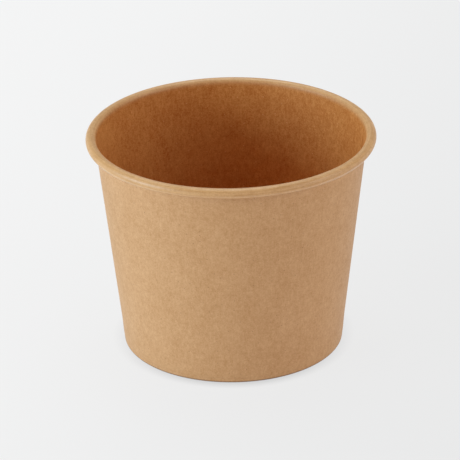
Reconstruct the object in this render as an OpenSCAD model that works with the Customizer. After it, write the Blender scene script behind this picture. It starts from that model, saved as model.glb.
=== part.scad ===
// Paper soup bowl: a tapered tub of coated paper board, standing upright on its foot.
// The side wall is one fan-shaped blank, lapped at a side seam, rolled outwards at the rim and
// folded inwards at the foot. The base is a second piece: a recessed disc whose turned-down skirt
// is gripped between the wall and the wall's own hem.

/* [Bowl] */
// Diameter over the rolled rim
rim_d = 98; // [90:0.5:118]
// Height from the table to the top of the rim
bowl_h = 76; // [60:0.5:92]
// Diameter over the foot
foot_d = 75; // [66:0.5:84]

/* [Board] */
// Thickness of the side wall's board
wall_t = 0.4; // [0.3:0.05:0.55]
// Thickness of the base's board
base_t = 0.35; // [0.25:0.05:0.5]
// Glue line between two layers of board
glue_gap = 0.03; // [0.02:0.01:0.06]

/* [Rim] */
// Outer diameter of the roll
roll_d = 3.45; // [3.2:0.05:4.5]
// Gap between the wall and the tucked-in end of the roll
tuck_gap = 0.25; // [0.15:0.05:0.4]
// How far the tucked-in end turns on past the underside of the roll, in degrees
tuck_turn = 120; // [90:5:170]

/* [Foot and base] */
// Height of the bowl's floor above the table
floor_h = 7.5; // [6:0.25:14]
// Inner radius of the bend between the base and its skirt
base_bend_r = 0.6; // [0.4:0.1:1.2]
// Gap between the hem's cut edge and the bend of the base
hem_clear = 0.4; // [0.2:0.1:2]
// Gap between the skirt's cut edge and the fold of the foot
skirt_clear = 0.2; // [0.1:0.1:1]
// Width of the flat ring that the fold is pressed to where it stands
foot_flat_w = 0.5; // [0.3:0.05:0.7]

/* [Side seam] */
// Width of the lap
lap_w = 7; // [5:0.5:10]
// Width over which the outer layer steps down past the inner layer's edge
step_w = 3; // [2:0.25:4]
// Distance from the roll and from the foot within which the lap is pressed flush
lap_press = 1; // [0.5:0.25:3]
// Direction of the lap's inner edge, counted from the right-hand side towards the back, in degrees
seam_angle = 8; // [0:1:359]

/* [Hidden] */
$fn = 96;

// Radii of the roll and of the fold at the foot, to the outside of the board and to its inside
roll_r = roll_d / 2;
fold_in_r = base_t / 2 + glue_gap;
fold_r = fold_in_r + wall_t;

// Centres of the roll and of the fold, as radius and height
roll_c = [rim_d / 2 - roll_r, bowl_h - roll_r];
fold_c = [foot_d / 2 - fold_r, sqrt(fold_r * fold_r - foot_flat_w * foot_flat_w / 4)];

// The wall is the straight board that leaves both rounds at a tangent, which sets its taper
reach = roll_c - fold_c;
taper = acos((roll_r + fold_r - wall_t) / norm(reach)) - atan2(reach[1], reach[0]);

// Unit vectors across the wall, pointing outwards, and up along it
across = [cos(taper), -sin(taper)];
along = [sin(taper), cos(taper)];
wall_len = reach * along;

// Radius of the tucked-in end of the roll, which leaves the roll at a tangent
tuck_r = roll_r - wall_t - tuck_gap;

// The bend of the base, whose skirt hangs on the middle of the fold's gap
bend_r = base_bend_r + base_t;
bend_z = floor_h - bend_r;
skirt_in = fold_c * across - base_t / 2;
bend_c = [(skirt_in - base_bend_r + bend_z * sin(taper)) / cos(taper), bend_z];
// The bend is drawn on past the edge of the disc, to this angle, and trimmed there
bend_turn = 120;
grip_len = (bend_c - fold_c) * along;

// The seam's run up the wall and its angles
mid_r = (rim_d + foot_d) / 4;
lap_angle = lap_w / mid_r * 180 / PI;
step_angle = step_w / mid_r * 180 / PI;
step_tilt = atan((wall_t + step_w * step_w / (2 * mid_r)) / step_w);
// The stepped strip starts a little early, so that it runs out inside the wall at every height
step_run = 1.4;
lap_lo = lap_press;
lap_hi = wall_len - roll_r - lap_press;
groove_lo = grip_len + lap_press;
groove_hi = lap_hi - wall_t;

// A stretch of bent board in section: a ring between two radii, from angle a0 to a1
module bent_board(r_out, r_in, a0, a1) {
    steps = ceil((a1 - a0) / 60);
    intersection() {
        difference() {
            circle(r_out);
            circle(r_in);
        }
        polygon(concat([[0, 0]], [for (i = [0 : steps])
            let (a = a0 + (a1 - a0) * i / steps) 2 * r_out * [cos(a), sin(a)]]));
    }
}

// Sets a section drawn in the wall's own directions, x outwards across it and y up along it
module on_wall(origin) {
    translate(origin) rotate(-taper) children();
}

// The rolled rim in section, drawn round the roll's centre: the roll and its tucked-in end
module roll_section() {
    bent_board(roll_r, roll_r - wall_t, -90, 180);
    translate([0, tuck_r - roll_r]) bent_board(tuck_r, tuck_r - wall_t, -90 - tuck_turn, -90);
}

// The whole wall in section, one strip of board from the tucked-in end of the roll down to the
// fold at the foot and up again to the hem's edge, pressed flat where it stands
module wall_section() {
    difference() {
        on_wall(fold_c) {
            translate([fold_in_r + roll_r, 0]) translate([0, wall_len]) roll_section();
            translate([fold_in_r, 0]) square([wall_t, wall_len]);
            bent_board(fold_r, fold_in_r, 180, 360);
            translate([-fold_r, 0]) square([wall_t, grip_len - hem_clear]);
        }
        translate([0, -foot_d]) square([foot_d, foot_d]);
    }
}

// The base in section: the disc, its bend and its skirt
module base_section() {
    translate([0, floor_h - base_t]) square([bend_c[0], base_t]);
    intersection() {
        on_wall(bend_c) bent_board(bend_r, base_bend_r, 0, bend_turn);
        translate([bend_c[0], 0]) square([foot_d, bowl_h]);
    }
    on_wall(bend_c) translate([base_bend_r, skirt_clear - grip_len]) square([base_t, grip_len - skirt_clear]);
}

// A block on the stepped side of the seam, between two offsets from the wall's outer face and two
// lengths up the wall, turned with the outer layer as it steps down from the lap
module step_block(offset_at_lap, across_0, across_1, along_0, along_1) {
    base = fold_c + (fold_r + offset_at_lap) * across;
    depth = 2 * step_run * step_w;
    rotate([0, 0, seam_angle])
        translate([base[0], 0, base[1]])
            rotate([0, taper, 0])
                rotate([0, 0, -step_tilt])
                    translate([across_0, -depth, along_0])
                        cube([across_1 - across_0, depth, along_1 - along_0]);
}

// The lap's outer layer on the outside of the wall: full thickness over the lap, then the step
module lap_strip() {
    difference() {
        rotate([0, 0, seam_angle - step_run * step_angle])
            rotate_extrude(angle = step_run * step_angle + lap_angle)
                on_wall(fold_c)
                    translate([fold_r - wall_t / 2, lap_lo])
                        square([3 / 2 * wall_t, lap_hi - lap_lo]);
        step_block(wall_t, 0, lap_w, -lap_w, wall_len);
    }
}

// The groove that the step leaves inside, between the inner layer's edge and the outer layer
module step_groove() {
    step_block(0, -lap_w, 0, groove_lo, groove_hi);
}

module side_wall() {
    color([0.78, 0.62, 0.45])
        difference() {
            union() {
                rotate_extrude() wall_section();
                lap_strip();
            }
            step_groove();
        }
}

module base_disc() {
    color([0.72, 0.55, 0.38])
        rotate_extrude() base_section();
}

side_wall();
base_disc();
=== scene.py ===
"""Looks of a paper soup bowl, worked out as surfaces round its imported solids.

The side wall is one strip of kraft board. Its section is a closed line, down one face of the board and
up the other, carried once round the bowl's axis, and it grows thicker where the ends of the blank are
lapped. The base is a second piece, a disc whose turned-down skirt sits between the wall and its hem.
"""

from math import cos, radians, sin

import bpy
import numpy as np
from mathutils import Matrix, Vector


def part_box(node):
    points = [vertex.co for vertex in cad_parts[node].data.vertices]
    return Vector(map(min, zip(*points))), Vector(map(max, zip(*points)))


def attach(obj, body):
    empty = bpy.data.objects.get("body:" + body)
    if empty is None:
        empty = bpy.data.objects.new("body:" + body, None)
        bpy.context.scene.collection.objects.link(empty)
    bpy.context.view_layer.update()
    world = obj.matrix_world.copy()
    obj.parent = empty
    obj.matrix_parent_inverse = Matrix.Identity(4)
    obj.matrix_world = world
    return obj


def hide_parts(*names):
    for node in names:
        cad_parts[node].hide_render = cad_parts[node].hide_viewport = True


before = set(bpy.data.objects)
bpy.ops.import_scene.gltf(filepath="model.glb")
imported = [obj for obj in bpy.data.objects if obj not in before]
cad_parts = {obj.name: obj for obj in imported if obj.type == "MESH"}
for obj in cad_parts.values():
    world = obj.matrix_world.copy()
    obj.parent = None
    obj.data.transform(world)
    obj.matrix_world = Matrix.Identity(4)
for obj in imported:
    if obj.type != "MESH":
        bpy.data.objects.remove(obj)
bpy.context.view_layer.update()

MM = 0.001
FULL_TURN = 2 * np.pi

# Overall sizes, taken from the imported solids
RIM_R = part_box("side_wall")[1].y
BOWL_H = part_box("side_wall")[1].z
FLOOR_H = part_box("base_disc")[1].z

# Board and its folds
FOOT_R = 37.5 * MM
WALL_T = 0.4 * MM
BASE_T = 0.35 * MM
GLUE_GAP = 0.03 * MM
ROLL_R = 1.725 * MM
TUCK_R = 1.075 * MM
TUCK_TURN = 120
FOOT_FLAT_W = 0.5 * MM
BASE_BEND_R = 0.6 * MM
HEM_CLEAR = 0.4 * MM
SKIRT_CLEAR = 0.2 * MM

# Side seam: how far behind the right-hand side the lap's inner edge is, and widths of the lap and its step
SEAM_ANGLE = np.radians(8)
LAP_W = 7 * MM
STEP_W = 3 * MM
# Lean of the lap's cut edge
CUT_LEAN = 0.02 * MM
# Middle radius of the wall, on which the seam's widths become angles round the bowl
MID_R = (RIM_R + FOOT_R) / 2
LAP_ANGLE = LAP_W / MID_R
STEP_ANGLE = STEP_W / MID_R
LEAN_ANGLE = CUT_LEAN / MID_R
# Shares of the lap's step that are left at the roll and at the foot
LAP_AT_ROLL = 0.4
LAP_AT_FOOT = 0.65
# Depth of the groove inside as a share of the board, and the share of it that is left at the roll
GROOVE_SHARE = 0.3
GROOVE_AT_ROLL = 0.5
# Lengths of wall over which the lap lessens towards the foot and the groove runs out at the base
LAP_RUN = 5 * MM
GROOVE_RUN = 2 * MM

# Lengths of wall with closer points: under the roll, where the seam lessens, and over the foot
COLLAR_H = 4 * MM
SHIN_H = 3 * MM

# Flare of the foot, full from a length below the bend of the base and gone at a length above it
FOOT_FLARE = 0.13 * MM
FLARE_FULL_BELOW = 2 * MM
FLARE_GONE_ABOVE = 1 * MM
# The rim isn't quite round: an oval and a share of three lobes, each with its phase
OUT_OF_ROUND = 0.12 * MM
OVAL_PHASE = -0.9
LOBE_SHARE = 0.6
LOBE_PHASE = 0.4
# Knurl pressed into the hem
KNURL_DEPTH = 0.07 * MM
KNURL_COUNT = 108
# Distances from the fold and from the hem's edge between which the knurl comes in
KNURL_FROM_FOLD = (0.6 * MM, 1.4 * MM)
KNURL_FROM_EDGE = (0.5 * MM, 1.1 * MM)
# Sag of the base, and gathers at its edge
BASE_SAG = 0.25 * MM
GATHER_DEPTH = 0.04 * MM
GATHER_COUNT = 54
# Shares of the base's radius between which the gathers come in and go out
GATHERS_IN = (0.86, 0.97)
GATHERS_OUT = (0.98, 1)
# Crease that the crimping of the foot leaves round the outside
CREASE_H = 1.25 * MM
CREASE_HALF_W = 0.6 * MM
CREASE_DEPTH = 0.1 * MM
# Height below which painted shade, partly wear, starts to darken the foot's folded edge where it meets the
# floor, and height below which it is full
FOOT_SHADE_WEAR_H = 0.66 * MM
FOOT_SHADE_WEAR_FULL_H = 0.2 * MM

# Lengths of board past the top of the roll between which the roll's lighter colour, painted light of the
# rim that is lit directly, gives way to the inside's darker one, which is partly painted shade of the
# hollow
ROLL_FADE_START = 0.9 * MM
ROLL_FADE_END = 3.5 * MM
# Degrees round the roll, counted up from its outside, below which the curling die has polished it
LIP_TOP = -18

# Steps of the mesh: columns round a knurl, a gather, the seam's step and its lap, and rings in the base
KNURL_STEPS = 4
GATHER_STEPS = 4
STEP_COLUMNS = 8
LAP_COLUMNS = 6
BASE_RINGS = 24
# Angle between two faces past which the edge between them is sharp
SHARP_ANGLE = np.radians(50)
# Distance between the base's two faces on the map of its sheet
FACES_APART = 3 * RIM_R

# Stretches of the wall's section that make up its outer face, and its inner face with the roll
OUTER_FACE = ["hem", "fold", "shin", "outside"]
INNER_FACE = ["roll_skin", "collar", "inside"]
# Finishes of a board in the order of its mesh's slots: lined face, raw face, cut edge and polished lip
LINED, RAW, CUT, POLISHED = range(4)

# Layers of the kraft: width and length of a grain, its turn in degrees, the noise's detail and the weight
KRAFT_LAYERS = (
    (11 * MM, 16 * MM, 20, 0, 0.14),
    (5.5 * MM, 7 * MM, -15, 0, 0.18),
    (2.8 * MM, 3.6 * MM, 12, 1, 0.3),
    (1.3 * MM, 1.6 * MM, 0, 1, 0.45),
    (0.45 * MM, 2.8 * MM, 3, 1, 0.27),
    (0.32 * MM, 1.8 * MM, 58, 1, 0.25),
    (0.32 * MM, 1.8 * MM, -47, 1, 0.25),
    (0.7 * MM, 0.75 * MM, 0, 0, 0.3),
    (0.36 * MM, 0.4 * MM, 0, 0, 0.4),
)
# Middle of the noise and of the kraft's tone
MIDDLE_TONE = 0.5
# Streaks that the curling die leaves along the roll
STREAK_L = 16 * MM
STREAK_W = 0.5 * MM
STREAK_WEIGHT = 0.9
# Specks: the pitch of the cells that may hold one, its radius, and the share of the cells that do
SPECK_PITCH = 2.2 * MM
SPECK_R = 0.17 * MM
SPECK_SHARE = 0.09
# Shares of their own colours in the specks and in the foot's edge, whose dark is painted shade with some
# wear
SPECK_STRENGTH = 0.55
FOOT_SHADE_WEAR_STRENGTH = 0.95
# How far the roughness falls from the darkest tone to the lightest, and the height of the fibres
ROUGH_SWING = 0.2
RELIEF = 0.009 * MM

# Colours of the board, each with the shares by which its channels fall and rise with the tone
OUTSIDE_BROWN = (0.525, 0.279, 0.118)
OUTSIDE_SWING = (0.18, 0.255, 0.41)
# Darker, redder lining: partly the lining's own colour, partly painted shade of the bowl's hollow
LINING_AND_SHADE_BROWN = (0.52, 0.194, 0.038)
INSIDE_SWING = (0.265, 0.5, 0.88)
# Lighter copy of the lining for the roll: painted light of the rim, which is lit directly
LIT_ROLL_BROWN = (0.558, 0.304, 0.126)
ROLL_SWING = (0.14, 0.2, 0.32)
CUT_BROWN = (0.62, 0.45, 0.28)
CUT_SWING = (0.25, 0.3, 0.4)
# Colours of the foot's painted shade with some wear, and of the specks
FOOT_SHADE_WEAR_BROWN = (0.17, 0.065, 0.018)
DARK_SPECK = (0.19, 0.075, 0.022)
PALE_SPECK = (0.72, 0.4, 0.16)
# Roughness and specular level of the finishes
OUTSIDE_ROUGH = 0.55
OUTSIDE_SPECULAR = 0.46
INSIDE_ROUGH = 0.8
INSIDE_SPECULAR = 0.4
ROLL_ROUGH = 0.41
LIP_ROUGH = 0.2
LIP_SPECULAR = 1.0
CUT_ROUGH = 0.9
CUT_SPECULAR = 0.2
# Sockets of the Mix node when it mixes colours: the two colours and the result
MIX_FIRST = 6
MIX_SECOND = 7
MIX_RESULT = 2

# Camera, fitted to the photograph: its rise above the table, its small roll, its distance and its lens
CAMERA_RISE = radians(25.03)
CAMERA_ROLL = radians(-0.83)
CAMERA_DISTANCE = 1.171
LENS = 267.97
# How far the camera is shifted to its right and up, without being turned
AIM_RIGHT = -0.744 * MM
AIM_UP = 1.073 * MM
# Point half-way up the bowl's axis, which the camera and the lamps are set round
MIDDLE = Vector((0, 0, BOWL_H / 2))

# Lamps: degrees to the right of the front, degrees above the table, width, height, watts and colour
LAMPS = {
    "left_key": (-69, 12, 1.0, 0.6, 21.4, (0.615, 0.835, 1.0)),
    "left_high": (-66, 34, 0.8, 0.6, 2.6, (1.0, 0.82, 0.65)),
    "right_fill": (72, 22, 1.3, 1.0, 10, (0.89, 0.968, 1.0)),
    "top_back": (180, 68, 1.1, 1.1, 15.5, (0.8, 0.95, 1.0)),
    "low_front": (10, 8, 1.0, 0.4, 0.9, (1.0, 0.72, 0.5)),
}
LAMP_DISTANCE = 1.5

# Half the width of the floor, and the share of light that it gives back
FLOOR_HALF = 4.0
FLOOR_ALBEDO = 0.92
# Share of the floor's lit surface in what is seen of it, which carries the bowl's shadow
FLOOR_SHADE = 0.05
# Share of the plain colour in the light that the floor throws on the bowl
FLOOR_GLOW = 0.6
# The floor's plain colour at the bowl, how fast it falls to the right and rises to the back, and its swing
PALE = 0.85
PALE_FALL_RIGHT = 0.42
PALE_RISE_BACK = 0.12
PALE_SWING = 0.07
# Reach and depth of the painted contact shadow where the foot meets the floor
CONTACT_REACH = 4.5 * MM
CONTACT_DEPTH = 0.45
# Share of that painted shadow that is left out on the left and on the right, where the lamps stand
CONTACT_SIDE_LOSS = 0.7
# Colour of the even light from all round
AMBIENT = (0.235, 0.186, 0.173)
# Heights of a mirrored ray between which the surroundings turn from the pale sweep to the dark room
SWEEP_LOW = 0.05
SWEEP_HIGH = 0.35


def smooth(x, low, high):
    """0 below low, 1 above high, and the cubic 3s^2 - 2s^3 of the share s between them."""
    s = np.clip((x - low) / (high - low), 0, 1)
    return s * s * (3 - 2 * s)


def fade(x, low, high):
    """1 below low, 0 above high, and what smooth leaves of 1 between them."""
    return 1 - smooth(x, low, high)


def straight(start, end, count):
    """Points evenly spaced from start towards end, which is left to the next stretch of the section."""
    start = np.asarray(start, float)
    return start + (np.asarray(end, float) - start) * np.arange(count)[:, None] / count


def bend(centre, radius, begin, end, count):
    """Points on the circle round centre from angle begin towards end, which is left to the next stretch."""
    angle = np.radians(begin + (end - begin) * np.arange(count) / count)
    return np.asarray(centre, float) + radius * np.stack([np.cos(angle), np.sin(angle)], 1)


def joined(stretches):
    """The points of a section's stretches, one after another, and the name of each point's stretch."""
    lines = list(stretches.values())
    return np.concatenate(lines), np.repeat(list(stretches), [len(line) for line in lines])


class WallFrame:
    """The side wall's own directions in section, x outwards across the board and y up along it.

    The wall is the straight board that leaves the fold at the foot and the roll at the rim at a tangent:
    its taper is the angle at which the two rounds' radii add up to the part of their distance that lies
    across it.
    """

    # Inner and outer round of the fold at the foot, and their centre
    fold_in = BASE_T / 2 + GLUE_GAP
    fold_out = fold_in + WALL_T
    fold_c = np.array([FOOT_R - fold_out, np.sqrt(fold_out**2 - FOOT_FLAT_W**2 / 4)])
    # Way from the fold's centre to the roll's, and the wall's directions
    reach = np.array([RIM_R - ROLL_R, BOWL_H - ROLL_R]) - fold_c
    taper = np.arccos((ROLL_R + fold_in) / np.linalg.norm(reach)) - np.arctan2(reach[1], reach[0])
    across = np.array([np.cos(taper), -np.sin(taper)])
    along = np.array([np.sin(taper), np.cos(taper)])
    length = reach @ along
    # Bend of the base into its skirt
    bend_out = BASE_BEND_R + BASE_T
    bend_z = FLOOR_H - bend_out
    skirt_in = fold_c @ across - BASE_T / 2
    bend_c = np.array([(skirt_in - BASE_BEND_R + bend_z * np.sin(taper)) / np.cos(taper), bend_z])
    # Lengths up the wall to that bend's centre and to the hem's edge
    grip = (bend_c - fold_c) @ along
    hem = grip - HEM_CLEAR


def in_section(local, origin):
    """Radius and height of points given in the wall's own directions from an origin."""
    return origin + local[:, :1] * WallFrame.across + local[:, 1:] * WallFrame.along


def facing(section):
    """Unit normals of a closed section line: the line's direction between neighbours, turned a quarter."""
    ahead = np.roll(section, -1, 0) - np.roll(section, 1, 0)
    ahead /= np.linalg.norm(ahead, axis=1, keepdims=True)
    return np.stack([ahead[:, 1], -ahead[:, 0]], 1)


def run_length(points):
    """Length along a line of points from the first, ending with the step that closes it."""
    steps = np.linalg.norm(np.roll(points, -1, 0) - points, axis=1)
    return np.concatenate([[0], np.cumsum(steps)])


def grid_quads(rows, cols, closed_rows):
    """Quads of a grid that is closed along its columns, each as its four points' rows and columns."""
    row, col = np.meshgrid(np.arange(rows - (not closed_rows)), np.arange(cols), indexing="ij")
    quad_rows = np.stack([row, row, row + 1, row + 1], -1).reshape(-1, 4)
    quad_cols = np.stack([col, col + 1, col + 1, col], -1).reshape(-1, 4)
    return quad_rows, quad_cols


def board_mesh(name, points, faces, corner_uv, face_finish, finishes, marks=None):
    """A piece of the given points and faces, with a map in metres on the sheet and a finish for each face.

    The marks are named values at the points, which the finishes read.
    """
    mesh = bpy.data.meshes.new(name)
    mesh.from_pydata(points.tolist(), [], faces)
    mesh.uv_layers.new(name="sheet").uv.foreach_set("vector", corner_uv.astype(np.float32).ravel())
    for finish in finishes:
        mesh.materials.append(finish)
    mesh.polygons.foreach_set("material_index", face_finish.astype(np.int32))
    for mark, values in (marks or {}).items():
        layer = mesh.attributes.new(mark, "FLOAT", "POINT")
        layer.data.foreach_set("value", values.astype(np.float32))
    mesh.shade_smooth()
    mesh.set_sharp_from_angle(angle=SHARP_ANGLE)
    piece = bpy.data.objects.new(name, mesh)
    bpy.context.scene.collection.objects.link(piece)
    return piece


def wall_section():
    """The side wall's section as named stretches of one closed line.

    It starts at the tucked-in end of the roll, follows the face that is inside the bowl over the roll, down
    the wall, round the fold and up the hem, and comes back along the other face.
    """
    w = WallFrame
    roll_c = np.array([w.fold_in + ROLL_R, w.length])
    tuck_c = roll_c + [0, TUCK_R - ROLL_R]
    tuck_end = -90 - TUCK_TURN
    return {
        "tuck_skin": bend(tuck_c, TUCK_R, tuck_end, -90, count=8),
        "roll_skin": bend(roll_c, ROLL_R, -90, 180, count=42),
        "collar": straight([w.fold_in, w.length], [w.fold_in, w.length - COLLAR_H], count=8),
        "inside": straight([w.fold_in, w.length - COLLAR_H], [w.fold_in, 0], count=24),
        "fold_lining": bend([0, 0], w.fold_in, 0, -180, count=6),
        "hem_lining": straight([-w.fold_in, 0], [-w.fold_in, w.hem], count=3),
        "hem_edge": straight([-w.fold_in, w.hem], [-w.fold_out, w.hem], count=1),
        "hem": straight([-w.fold_out, w.hem], [-w.fold_out, 0], count=10),
        "fold": bend([0, 0], w.fold_out, 180, 360, count=14),
        "shin": straight([w.fold_out, 0], [w.fold_out, SHIN_H], count=12),
        "outside": straight([w.fold_out, SHIN_H], [w.fold_out, w.length], count=30),
        "roll_lining": bend(roll_c, ROLL_R - WALL_T, 180, -90, count=14),
        "tuck_lining": bend(tuck_c, TUCK_R - WALL_T, -90, tuck_end, count=6),
        "tuck_edge": bend(tuck_c, TUCK_R - WALL_T, tuck_end, tuck_end, count=1),
    }


def wall_columns():
    """Angles of the wall's columns, counted from the lap's inner edge.

    They go in even steps from the lap's outer edge on, then along the seam's step, and over the lap to the
    same outer edge, a whole turn later.
    """
    count = KNURL_STEPS * KNURL_COUNT
    even = np.arange(count) / count * FULL_TURN + LAP_ANGLE
    step = FULL_TURN + np.linspace(-STEP_ANGLE, 0, STEP_COLUMNS)
    lap = FULL_TURN + np.linspace(LEAN_ANGLE, LAP_ANGLE - LEAN_ANGLE, LAP_COLUMNS)
    return np.concatenate([even[even < FULL_TURN - STEP_ANGLE], step, lap])


def seam_moves(stretch, up, round_by):
    """How far the seam moves the wall along its normals, by row and column.

    The outer face rises on to the lap by a smooth ramp round the bowl, and the inner face sinks by the same
    ramp up to the lap's inner edge. Both lessen smoothly along the wall towards the roll and the foot.
    """
    w = WallFrame
    lap_round = smooth(round_by, FULL_TURN - STEP_ANGLE, FULL_TURN)
    groove_round = np.where(round_by > FULL_TURN + LEAN_ANGLE / 2, 0, lap_round)
    near_roll = smooth(up, w.length - COLLAR_H, w.length)
    near_foot = fade(up, 0, LAP_RUN)
    lap_up = np.isin(stretch, OUTER_FACE) * (1 - (1 - LAP_AT_ROLL) * near_roll)
    lap_up = lap_up * (1 - (1 - LAP_AT_FOOT) * near_foot)
    groove_up = np.isin(stretch, INNER_FACE) * GROOVE_SHARE * (1 - (1 - GROOVE_AT_ROLL) * near_roll)
    groove_up = groove_up * smooth(up, w.grip - GROOVE_RUN, w.grip)
    return WALL_T * (np.outer(lap_up, lap_round) - np.outer(groove_up, groove_round))


def press_moves(stretch, up, height, outward, theta):
    """How far the pressing of the foot moves the wall along its normals, by row and column.

    The knurl is a cosine round the hem that comes in smoothly from the fold and from the hem's edge. The
    crease is a smooth dip round the outside.
    """
    knurl = smooth(up, *KNURL_FROM_FOLD) * smooth(WallFrame.hem - up, *KNURL_FROM_EDGE)
    knurl = knurl * (stretch == "hem")
    crease = outward * fade(np.abs(height - CREASE_H), 0, CREASE_HALF_W)
    return KNURL_DEPTH * np.outer(knurl, np.cos(KNURL_COUNT * theta)) - CREASE_DEPTH * crease[:, None]


def wall_finish(stretch, roll_angle, at_lap_edge):
    """The finish of each of the wall's faces, by its stretch, its angle on the roll and the lap's cut."""
    raw = np.isin(stretch, OUTER_FACE + ["roll_lining", "tuck_lining"])
    cut = np.isin(stretch, ["hem_edge", "tuck_edge"]) | (raw & at_lap_edge)
    lip = (stretch == "roll_skin") & (roll_angle < LIP_TOP)
    return np.select([cut, raw, lip], [CUT, RAW, POLISHED], LINED)


def make_side_wall(finishes):
    """The side wall: its section carried round the axis from the lap's outer edge once round to that edge.

    Each point is the section's point, moved along the section's normal by the seam and by the pressing of
    the foot. The radius grows by the flare of the foot and by the out-of-round, a sum of two cosines round
    the bowl that rises with the square of the height.
    """
    w = WallFrame
    local, stretch = joined(wall_section())
    up = local[:, 1]
    section = in_section(local, w.fold_c)
    normal = facing(section)
    outward = np.isin(stretch, ["fold", "shin", "outside"]) & (local[:, 0] > 0)
    round_by = wall_columns()
    theta = SEAM_ANGLE + round_by

    move = seam_moves(stretch, up, round_by) + press_moves(stretch, up, section[:, 1], outward, theta)
    flare = outward * fade(up, w.grip - FLARE_FULL_BELOW, w.grip + FLARE_GONE_ABOVE)
    loose = np.clip(section[:, 1] / BOWL_H, 0, 1) ** 2
    waver = np.cos(2 * theta + OVAL_PHASE) + LOBE_SHARE * np.cos(3 * theta + LOBE_PHASE)
    radius = section[:, :1] + normal[:, :1] * move + FOOT_FLARE * flare[:, None]
    radius = radius + OUT_OF_ROUND * np.outer(loose, waver)
    height = np.maximum(section[:, 1:] + normal[:, 1:] * move, 0)
    points = np.stack([radius * np.cos(theta), radius * np.sin(theta), height], -1)

    rows, cols = radius.shape
    quad_rows, quad_cols = grid_quads(rows, cols, closed_rows=True)
    faces = (quad_rows % rows) * cols + quad_cols % cols
    sheet_u = np.append(MID_R * round_by, MID_R * (FULL_TURN + LAP_ANGLE) + WALL_T)
    sheet_v = run_length(section)
    corner_uv = np.stack([sheet_u[quad_cols], sheet_v[quad_rows]], -1)

    face_row = quad_rows[:, 0]
    roll_angle = np.degrees(np.arctan2(up - w.length, local[:, 0] - w.fold_in - ROLL_R))
    at_lap_edge = quad_cols[:, 0] == cols - 1
    face_finish = wall_finish(stretch[face_row], roll_angle[face_row], at_lap_edge)

    # Mark that lightens the lining over the roll, as painted light of the lit rim
    from_top = sheet_v[:-1] - sheet_v[np.argmax(section[:, 1])]
    rolled = fade(from_top, ROLL_FADE_START, ROLL_FADE_END)
    rolled = rolled * np.isin(stretch, ["tuck_skin", "roll_skin", "collar"])
    # Mark that darkens the foot's lowest edge: painted shade where the fold meets the floor, partly wear
    foot_shade_and_wear = fade(section[:, 1], FOOT_SHADE_WEAR_FULL_H, FOOT_SHADE_WEAR_H) * np.isin(stretch, OUTER_FACE)
    marks = {"rolled": np.repeat(rolled, cols), "foot_shade_and_wear": np.repeat(foot_shade_and_wear, cols)}
    return board_mesh("side_wall_board", points.reshape(-1, 3), faces.tolist(), corner_uv,
                      face_finish, finishes, marks)


def base_section():
    """The base's section as named stretches of an open line, from under the centre to over the centre."""
    w = WallFrame
    up_angle = 90 + np.degrees(w.taper)
    skirt_low = SKIRT_CLEAR - w.grip
    below = [w.bend_c[0], w.bend_z + BASE_BEND_R]
    above = [w.bend_c[0], FLOOR_H]
    on_wall = {
        "bend_under": bend([0, 0], BASE_BEND_R, up_angle, 0, count=6),
        "skirt_under": straight([BASE_BEND_R, 0], [BASE_BEND_R, skirt_low], count=6),
        "skirt_edge": straight([BASE_BEND_R, skirt_low], [w.bend_out, skirt_low], count=1),
        "skirt": straight([w.bend_out, skirt_low], [w.bend_out, 0], count=6),
        "bend": bend([0, 0], w.bend_out, 0, up_angle, count=8),
    }
    hub = below[0] / BASE_RINGS
    return {
        "under": straight([hub, below[1]], below, count=BASE_RINGS - 1),
        **{name: in_section(line, w.bend_c) for name, line in on_wall.items()},
        "top": straight(above, [hub, FLOOR_H], count=BASE_RINGS - 1),
        "hub": np.array([[hub, FLOOR_H]]),
    }


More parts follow.
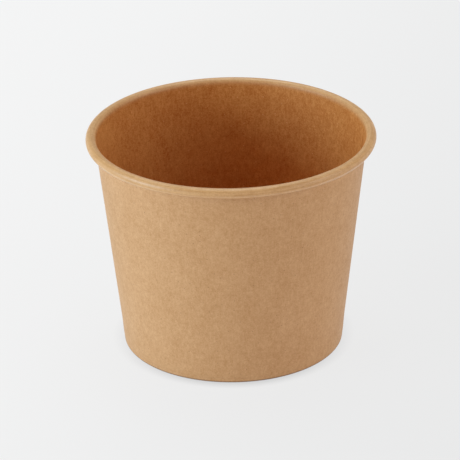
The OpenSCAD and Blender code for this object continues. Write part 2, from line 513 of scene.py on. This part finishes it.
def make_base(finishes):
    """The base: its section carried round the axis, with one point at the centre of each face closing it.

    The disc sags by a share that falls with the square of the radius. Gathers, a cosine round the bowl,
    rise towards the bend, where the flat board was drawn in to make the skirt. On the map of the sheet
    its two faces are discs side by side.
    """
    section, stretch = joined(base_section())
    rows = len(section)
    cols = GATHER_STEPS * GATHER_COUNT
    theta = np.arange(cols) / cols * FULL_TURN

    flat = np.isin(stretch, ["under", "top", "hub"])
    share = np.clip(section[:, 0] / WallFrame.bend_c[0], 0, 1)
    sag = flat * BASE_SAG * (1 - share**2)
    gather = flat * GATHER_DEPTH * smooth(share, *GATHERS_IN) * fade(share, *GATHERS_OUT)
    height = section[:, 1:] - sag[:, None] + np.outer(gather, np.cos(GATHER_COUNT * theta))
    radius = section[:, :1]
    rings = np.stack([radius * np.cos(theta), radius * np.sin(theta), height], -1)
    centres = [[0, 0, FLOOR_H - BASE_T - BASE_SAG], [0, 0, FLOOR_H - BASE_SAG]]
    points = np.concatenate([rings.reshape(-1, 3), centres])

    quad_rows, quad_cols = grid_quads(rows, cols, closed_rows=False)
    quads = quad_rows * cols + quad_cols % cols
    first = np.arange(cols)
    last = first + (rows - 1) * cols
    under_fan = np.stack([np.roll(first, -1), first, np.full(cols, rows * cols)], 1)
    top_fan = np.stack([last, np.roll(last, -1), np.full(cols, rows * cols + 1)], 1)

    reach = section[0, 0] + run_length(section)[:-1]
    half = reach[stretch == "skirt_edge"][0]
    upper = reach > half
    from_centre = np.where(upper, 2 * half - reach + BASE_T, reach)[:, None]
    aside = np.where(upper, FACES_APART, 0)[:, None]
    sheet = np.stack([aside + from_centre * np.cos(theta), from_centre * np.sin(theta)], -1)
    point_uv = np.concatenate([sheet.reshape(-1, 2), [[0, 0], [FACES_APART, 0]]])
    corner_uv = point_uv[np.concatenate([quads.ravel(), under_fan.ravel(), top_fan.ravel()])]

    raw = np.isin(stretch, ["under", "bend_under", "skirt_under"])
    row_finish = np.select([raw, stretch == "skirt_edge"], [RAW, CUT], LINED)
    face_finish = np.concatenate([row_finish[quad_rows[:, 0]], np.full(cols, RAW), np.full(cols, LINED)])
    faces = quads.tolist() + under_fan.tolist() + top_fan.tolist()
    return board_mesh("base_disc_board", points, faces, corner_uv, face_finish, finishes)


def add_node(tree, kind, inputs=None, **settings):
    """Adds a shader node. An input takes a value, or a link where it is given another node's socket."""
    made = tree.nodes.new("ShaderNode" + kind)
    for key, value in settings.items():
        setattr(made, key, value)
    for key, value in (inputs or {}).items():
        if isinstance(value, bpy.types.NodeSocket):
            tree.links.new(value, made.inputs[key])
        else:
            made.inputs[key].default_value = value
    return made


def sum_up(tree, operation, *values):
    """The result of a Math node on the given numbers or sockets."""
    return add_node(tree, "Math", dict(enumerate(values)), operation=operation).outputs[0]


def mixed(tree, share, first, second):
    """A colour between two colours, by a share."""
    inputs = {"Factor": share}
    for socket, colour in ((MIX_FIRST, first), (MIX_SECOND, second)):
        inputs[socket] = (*colour, 1) if isinstance(colour, tuple) else colour
    return add_node(tree, "Mix", inputs, data_type="RGBA").outputs[MIX_RESULT]


def fibre_noise(tree, sheet, across, along, turn, detail):
    """Noise with grains of the given width and length on the sheet, in metres, turned by an angle."""
    placing = {"Vector": sheet, "Rotation": (0, 0, radians(turn)), "Scale": (across, along, 1)}
    place = add_node(tree, "Mapping", placing, vector_type="TEXTURE").outputs[0]
    grain = {"Vector": place, "Scale": 1, "Detail": detail}
    return add_node(tree, "TexNoise", grain, noise_dimensions="2D").outputs[0]


def kraft_tone(tree, sheet):
    """The kraft's tone: the middle, plus each layer's noise less the middle, times the layer's weight."""
    tone = MIDDLE_TONE
    for across, along, turn, detail, weight in KRAFT_LAYERS:
        noise = fibre_noise(tree, sheet, across, along, turn, detail)
        centred = sum_up(tree, "SUBTRACT", noise, MIDDLE_TONE)
        tone = sum_up(tree, "MULTIPLY_ADD", centred, weight, tone)
    return tone


def speck_mask(tree, sheet):
    """1 in a small round spot in some of the cells of a scattered pattern, and 0 elsewhere."""
    pattern = {"Vector": sheet, "Scale": 1 / SPECK_PITCH}
    cells = add_node(tree, "TexVoronoi", pattern, voronoi_dimensions="2D").outputs
    picked = add_node(tree, "SeparateColor", {"Color": cells["Color"]}).outputs[0]
    near = sum_up(tree, "LESS_THAN", cells["Distance"], SPECK_R / SPECK_PITCH)
    chosen = sum_up(tree, "LESS_THAN", picked, SPECK_SHARE)
    return sum_up(tree, "MULTIPLY", near, chosen)


def kraft(name, colour, swing, roughness, specular, speck, rolled=None):
    """Kraft board: a tone of fibres and clouds between a darker and a lighter shade, specks and relief.

    The swing is the share by which each channel of the colour falls and rises. Where the roll's colour,
    swing and roughness are given, they take over by the mesh's mark for the roll. That colour is lighter
    than the lining's, as painted light of the rim that is lit directly, while the roughness is the roll's
    own finish.
    """
    material = bpy.data.materials.new(name)
    material.use_nodes = True
    tree = material.node_tree
    shader = tree.nodes["Principled BSDF"]
    sheet = add_node(tree, "UVMap", uv_map="sheet").outputs[0]
    tone = kraft_tone(tree, sheet)

    def shades(middle, swings, by):
        dark = tuple(c * (1 - share) for c, share in zip(middle, swings))
        light = tuple(c * (1 + share) for c, share in zip(middle, swings))
        return mixed(tree, by, dark, light)

    def mark(which):
        return add_node(tree, "Attribute", attribute_name=which).outputs["Fac"]

    board = shades(colour, swing, tone)
    rough = sum_up(tree, "MULTIPLY_ADD", tone, -ROUGH_SWING, roughness + ROUGH_SWING * MIDDLE_TONE)
    # The roll's lighter colour is painted light of the lit rim; its roughness is the roll's own finish
    if rolled:
        roll_colour, roll_swing, roll_roughness = rolled
        streaks = fibre_noise(tree, sheet, STREAK_L, STREAK_W, turn=0, detail=1)
        streaks = sum_up(tree, "SUBTRACT", streaks, MIDDLE_TONE)
        roll_tone = sum_up(tree, "MULTIPLY_ADD", streaks, STREAK_WEIGHT, tone)
        board = mixed(tree, mark("rolled"), board, shades(roll_colour, roll_swing, roll_tone))
        rough = sum_up(tree, "MULTIPLY_ADD", mark("rolled"), roll_roughness - roughness, rough)
    specked = sum_up(tree, "MULTIPLY", speck_mask(tree, sheet), SPECK_STRENGTH)
    board = mixed(tree, specked, board, speck)
    # Painted shade at the foot's edge, partly wear, darkens the board by the foot's mark
    foot_shade_and_wear = sum_up(tree, "MULTIPLY", mark("foot_shade_and_wear"), FOOT_SHADE_WEAR_STRENGTH)
    board = mixed(tree, foot_shade_and_wear, board, FOOT_SHADE_WEAR_BROWN)
    tree.links.new(board, shader.inputs["Base Color"])
    tree.links.new(rough, shader.inputs["Roughness"])
    bump = add_node(tree, "Bump", {"Height": tone, "Distance": RELIEF, "Strength": 1.0})
    tree.links.new(bump.outputs[0], shader.inputs["Normal"])
    shader.inputs["Specular IOR Level"].default_value = specular
    return material


def add_camera():
    """A camera in front of the bowl, looking down at its middle, with its axes turned by the roll."""
    toward = Vector((0, -cos(CAMERA_RISE), sin(CAMERA_RISE)))
    level_right = Vector((1, 0, 0))
    level_up = toward.cross(level_right)
    right = cos(CAMERA_ROLL) * level_right + sin(CAMERA_ROLL) * level_up
    up = toward.cross(right)
    lens = bpy.data.cameras.new("camera")
    lens.lens = LENS
    camera = bpy.data.objects.new("camera", lens)
    camera.matrix_world = Matrix((right, up, toward)).transposed().to_4x4()
    camera.location = MIDDLE + AIM_RIGHT * right + AIM_UP * up + CAMERA_DISTANCE * toward
    bpy.context.scene.collection.objects.link(camera)
    bpy.context.scene.camera = camera


def soft_box(name, round_from_front, rise, width, height, watts, colour):
    """A lamp that faces the bowl from an angle to the right of the front and an angle above the table."""
    side = radians(round_from_front)
    high = radians(rise)
    toward = Vector((sin(side) * cos(high), -cos(side) * cos(high), sin(high)))
    lamp = bpy.data.lights.new(name, "AREA")
    lamp.shape = "RECTANGLE"
    lamp.size = width
    lamp.size_y = height
    lamp.energy = watts
    lamp.color = colour
    holder = bpy.data.objects.new(name, lamp)
    holder.rotation_euler = toward.to_track_quat("Z", "Y").to_euler()
    holder.location = MIDDLE + LAMP_DISTANCE * toward
    bpy.context.scene.collection.objects.link(holder)


def seen(tree, path):
    """1 for rays from the camera and for mirrored or clear ones, and 0 for the rest."""
    glossy = sum_up(tree, "MAXIMUM", path["Is Camera Ray"], path["Is Glossy Ray"])
    return sum_up(tree, "MAXIMUM", glossy, path["Is Transmission Ray"])


def plain_floor(tree):
    """The floor's plain colour: a level that leans to one side, less the dark at the foot.

    The level falls to the right and rises to the back by a hyperbolic tangent, so that it settles far away.
    The painted contact shadow is the share of the floor's outlook that is covered close by, times a depth
    that falls with the square of the sine of the direction, so that it is least on the left and on the
    right.
    """
    place = add_node(tree, "TexCoord").outputs["Object"]
    right, back, _ = add_node(tree, "SeparateXYZ", {"Vector": place}).outputs
    rise = sum_up(tree, "MULTIPLY", back, PALE_RISE_BACK / PALE_SWING)
    lean = sum_up(tree, "MULTIPLY_ADD", right, -PALE_FALL_RIGHT / PALE_SWING, rise)
    level = sum_up(tree, "MULTIPLY_ADD", sum_up(tree, "TANH", lean), PALE_SWING, PALE)
    outlook = add_node(tree, "AmbientOcclusion", {"Distance": CONTACT_REACH}).outputs["AO"]
    covered = sum_up(tree, "SUBTRACT", 1, outlook)
    direction = sum_up(tree, "ARCTAN2", right, back)
    aside = sum_up(tree, "POWER", sum_up(tree, "SINE", direction), 2)
    depth = sum_up(tree, "MULTIPLY_ADD", aside, -CONTACT_DEPTH * CONTACT_SIDE_LOSS, CONTACT_DEPTH)
    kept = sum_up(tree, "SUBTRACT", 1, sum_up(tree, "MULTIPLY", covered, depth))
    return sum_up(tree, "MULTIPLY", level, kept)


def add_floor():
    """A pale floor, seen as its plain colour with a share of its lit surface, which has the shadow."""
    mesh = bpy.data.meshes.new("floor")
    corners = FLOOR_HALF * np.array([[-1, -1, 0], [1, -1, 0], [1, 1, 0], [-1, 1, 0]])
    mesh.from_pydata(corners.tolist(), [], [[0, 1, 2, 3]])
    floor = bpy.data.objects.new("floor", mesh)
    bpy.context.scene.collection.objects.link(floor)
    material = bpy.data.materials.new("pale_floor")
    material.use_nodes = True
    tree = material.node_tree
    tree.nodes.remove(tree.nodes["Principled BSDF"])
    lit = add_node(tree, "BsdfDiffuse", {"Color": (FLOOR_ALBEDO,) * 3 + (1,)}).outputs[0]
    plain = add_node(tree, "Emission", {"Color": plain_floor(tree)}).outputs[0]
    shown = add_node(tree, "MixShader", {0: FLOOR_SHADE, 1: plain, 2: lit}).outputs[0]
    thrown = add_node(tree, "MixShader", {0: FLOOR_GLOW, 1: lit, 2: plain}).outputs[0]
    path = add_node(tree, "LightPath").outputs
    surface = add_node(tree, "MixShader", {0: seen(tree, path), 1: thrown, 2: shown}).outputs[0]
    tree.links.new(surface, tree.nodes["Material Output"].inputs["Surface"])
    mesh.materials.append(material)


def add_world():
    """An even warm light from all round, seen as the pale sweep by the camera and by low mirrored rays."""
    world = bpy.data.worlds.new("studio")
    bpy.context.scene.world = world
    world.use_nodes = True
    tree = world.node_tree
    path = add_node(tree, "LightPath").outputs
    ray = add_node(tree, "TexCoord").outputs["Generated"]
    rise = add_node(tree, "SeparateXYZ", {"Vector": ray}).outputs["Z"]
    heights = {"Value": rise, "From Min": SWEEP_HIGH, "From Max": SWEEP_LOW}
    low = add_node(tree, "MapRange", heights, interpolation_type="SMOOTHSTEP").outputs[0]
    mirrored = sum_up(tree, "MULTIPLY", low, seen(tree, path))
    sweep = sum_up(tree, "MAXIMUM", path["Is Camera Ray"], mirrored)
    shown = mixed(tree, sweep, AMBIENT, (PALE,) * 3)
    tree.links.new(shown, tree.nodes["Background"].inputs["Color"])


outside_kraft = kraft("outside_kraft", OUTSIDE_BROWN, OUTSIDE_SWING, OUTSIDE_ROUGH, OUTSIDE_SPECULAR,
                      DARK_SPECK)
# The lining's darker colour is partly painted shade of the hollow; the roll's lighter colour on it is
# painted light
inside_kraft = kraft("inside_kraft", LINING_AND_SHADE_BROWN, INSIDE_SWING, INSIDE_ROUGH, INSIDE_SPECULAR,
                     PALE_SPECK, rolled=(LIT_ROLL_BROWN, ROLL_SWING, ROLL_ROUGH))
lip_kraft = kraft("lip_kraft", LIT_ROLL_BROWN, ROLL_SWING, LIP_ROUGH, LIP_SPECULAR, PALE_SPECK)
cut_edge = kraft("cut_edge", CUT_BROWN, CUT_SWING, CUT_ROUGH, CUT_SPECULAR, DARK_SPECK)

side_wall = make_side_wall([inside_kraft, outside_kraft, cut_edge, lip_kraft])
base = make_base([inside_kraft, outside_kraft, cut_edge])
for piece, node, slot in ((side_wall, "side_wall", "kraft_wall"), (base, "base_disc", "kraft_base")):
    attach(piece, "root")
    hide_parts(node)

add_camera()
add_floor()
add_world()
for lamp_name, lamp_setting in LAMPS.items():
    soft_box(lamp_name, *lamp_setting)
bpy.context.scene.view_settings.view_transform = "Standard"
